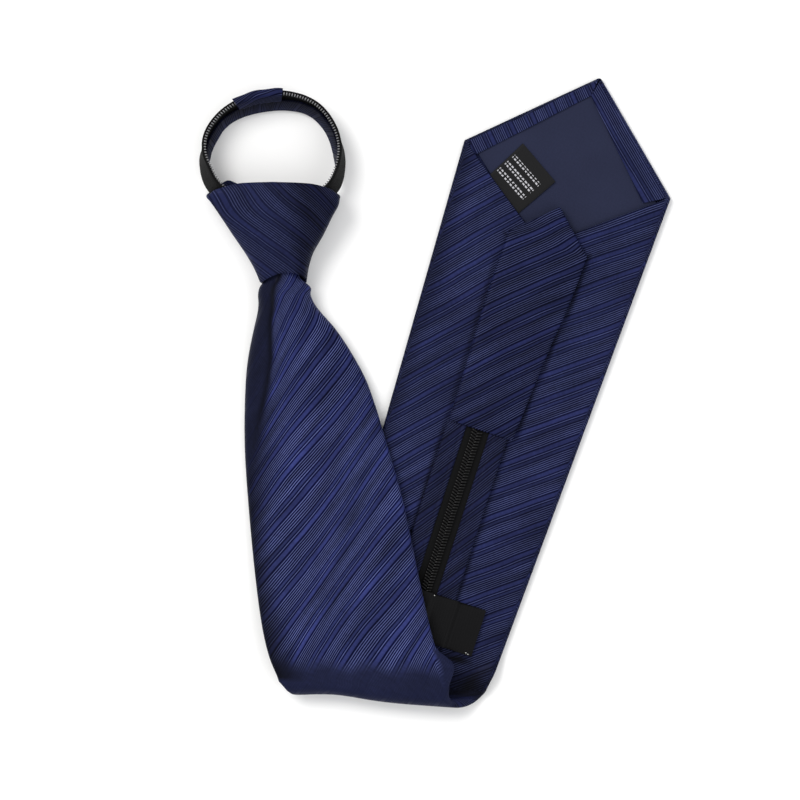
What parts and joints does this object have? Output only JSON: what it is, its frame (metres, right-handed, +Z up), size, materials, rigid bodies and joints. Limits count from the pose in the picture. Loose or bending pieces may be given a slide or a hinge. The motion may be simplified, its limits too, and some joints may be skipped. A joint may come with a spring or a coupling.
{
  "type": "zipper_tie",
  "caption": "Ready-knotted neck tie with a zip-adjusted neck loop, wide striped blade folded once and lying flat, and a narrow zip strip with a short tail on the blade's back.",
  "frame": {"origin": "On the table under the middle of the tie's bounding box", "axes": "+X to the right across the tie, +Y away from the viewer along the tie, +Z up from the table"},
  "size_m": [0.1876, 0.251, 0.0205],
  "materials": {
    "tie_cloth": "Navy jacquard with fine bias stripes, some of them bright satin.",
    "lining_cloth": "Plain matte slate lining cloth.",
    "label_satin": "Black finely ribbed satin ribbon.",
    "zip_tape": "Black woven zip tape.",
    "zip_nylon": "Black nylon coil."
  },
  "bodies": {
    "root": {"front_blade": "tie_cloth", "tip_lining": "lining_cloth", "care_label": "label_satin", "keeper_loop": "label_satin", "tail_blade": "tie_cloth", "strip_cloth_left": "tie_cloth", "strip_cloth_right": "tie_cloth", "zip_tape_left": "zip_tape", "zip_tape_right": "zip_tape", "zip_chain": "zip_nylon", "knot_wrap": "tie_cloth", "neck_band": "tie_cloth", "neck_tape_left": "zip_tape", "neck_tape_right": "zip_tape", "neck_coil_left": "zip_nylon", "neck_coil_right": "zip_nylon", "loop_sleeve": "tie_cloth", "zip_slider": "zip_nylon"}
  },
  "joints": []
}
